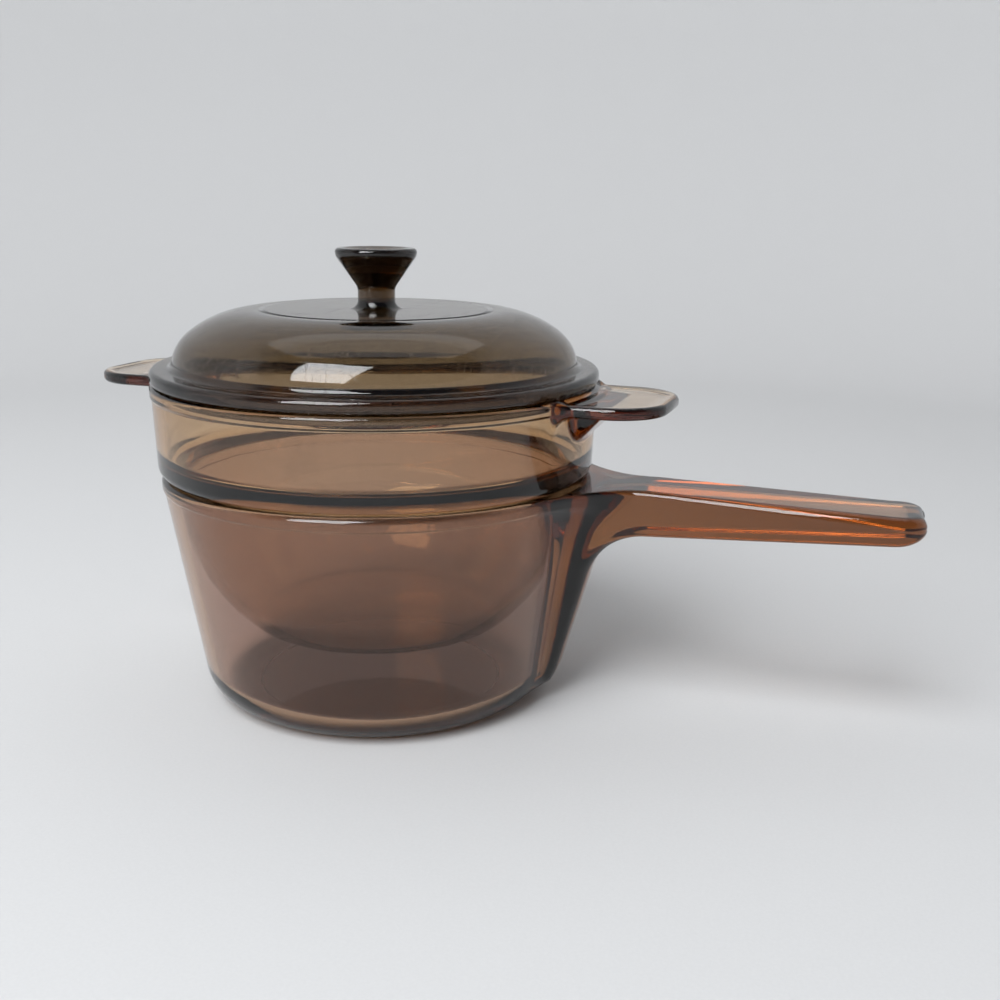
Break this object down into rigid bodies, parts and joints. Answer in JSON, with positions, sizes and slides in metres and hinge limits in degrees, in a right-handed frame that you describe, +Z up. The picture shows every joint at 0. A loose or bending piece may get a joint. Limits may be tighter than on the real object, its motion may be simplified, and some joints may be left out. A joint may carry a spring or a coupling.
{
  "type": "double boiler",
  "caption": "Clear brown glass double boiler: long-handled saucepan, upper pan with two tab handles hanging in it, and a domed lid with a knob.",
  "frame": {"origin": "centre of the saucepan's foot, on the hob", "axes": "+Z up, +X out along the saucepan's long handle"},
  "size_m": [0.3388, 0.18, 0.1823],
  "materials": {
    "saucepan_glass": "polished clear brown glass",
    "insert_glass": "polished clear brown glass",
    "lid_glass": "polished smoky brown glass, lightly scratched"
  },
  "bodies": {
    "saucepan": {"saucepan": "saucepan_glass"},
    "insert": {"insert": "insert_glass"},
    "lid": {"lid": "lid_glass"}
  },
  "joints": [
    {"name": "insert_lift", "type": "slide", "parent": "saucepan", "child": "insert", "axis": [0, 0, 1], "range_m": [0, 0.08]},
    {"name": "lid_lift", "type": "slide", "parent": "insert", "child": "lid", "axis": [0, 0, 1], "range_m": [0, 0.06]}
  ]
}
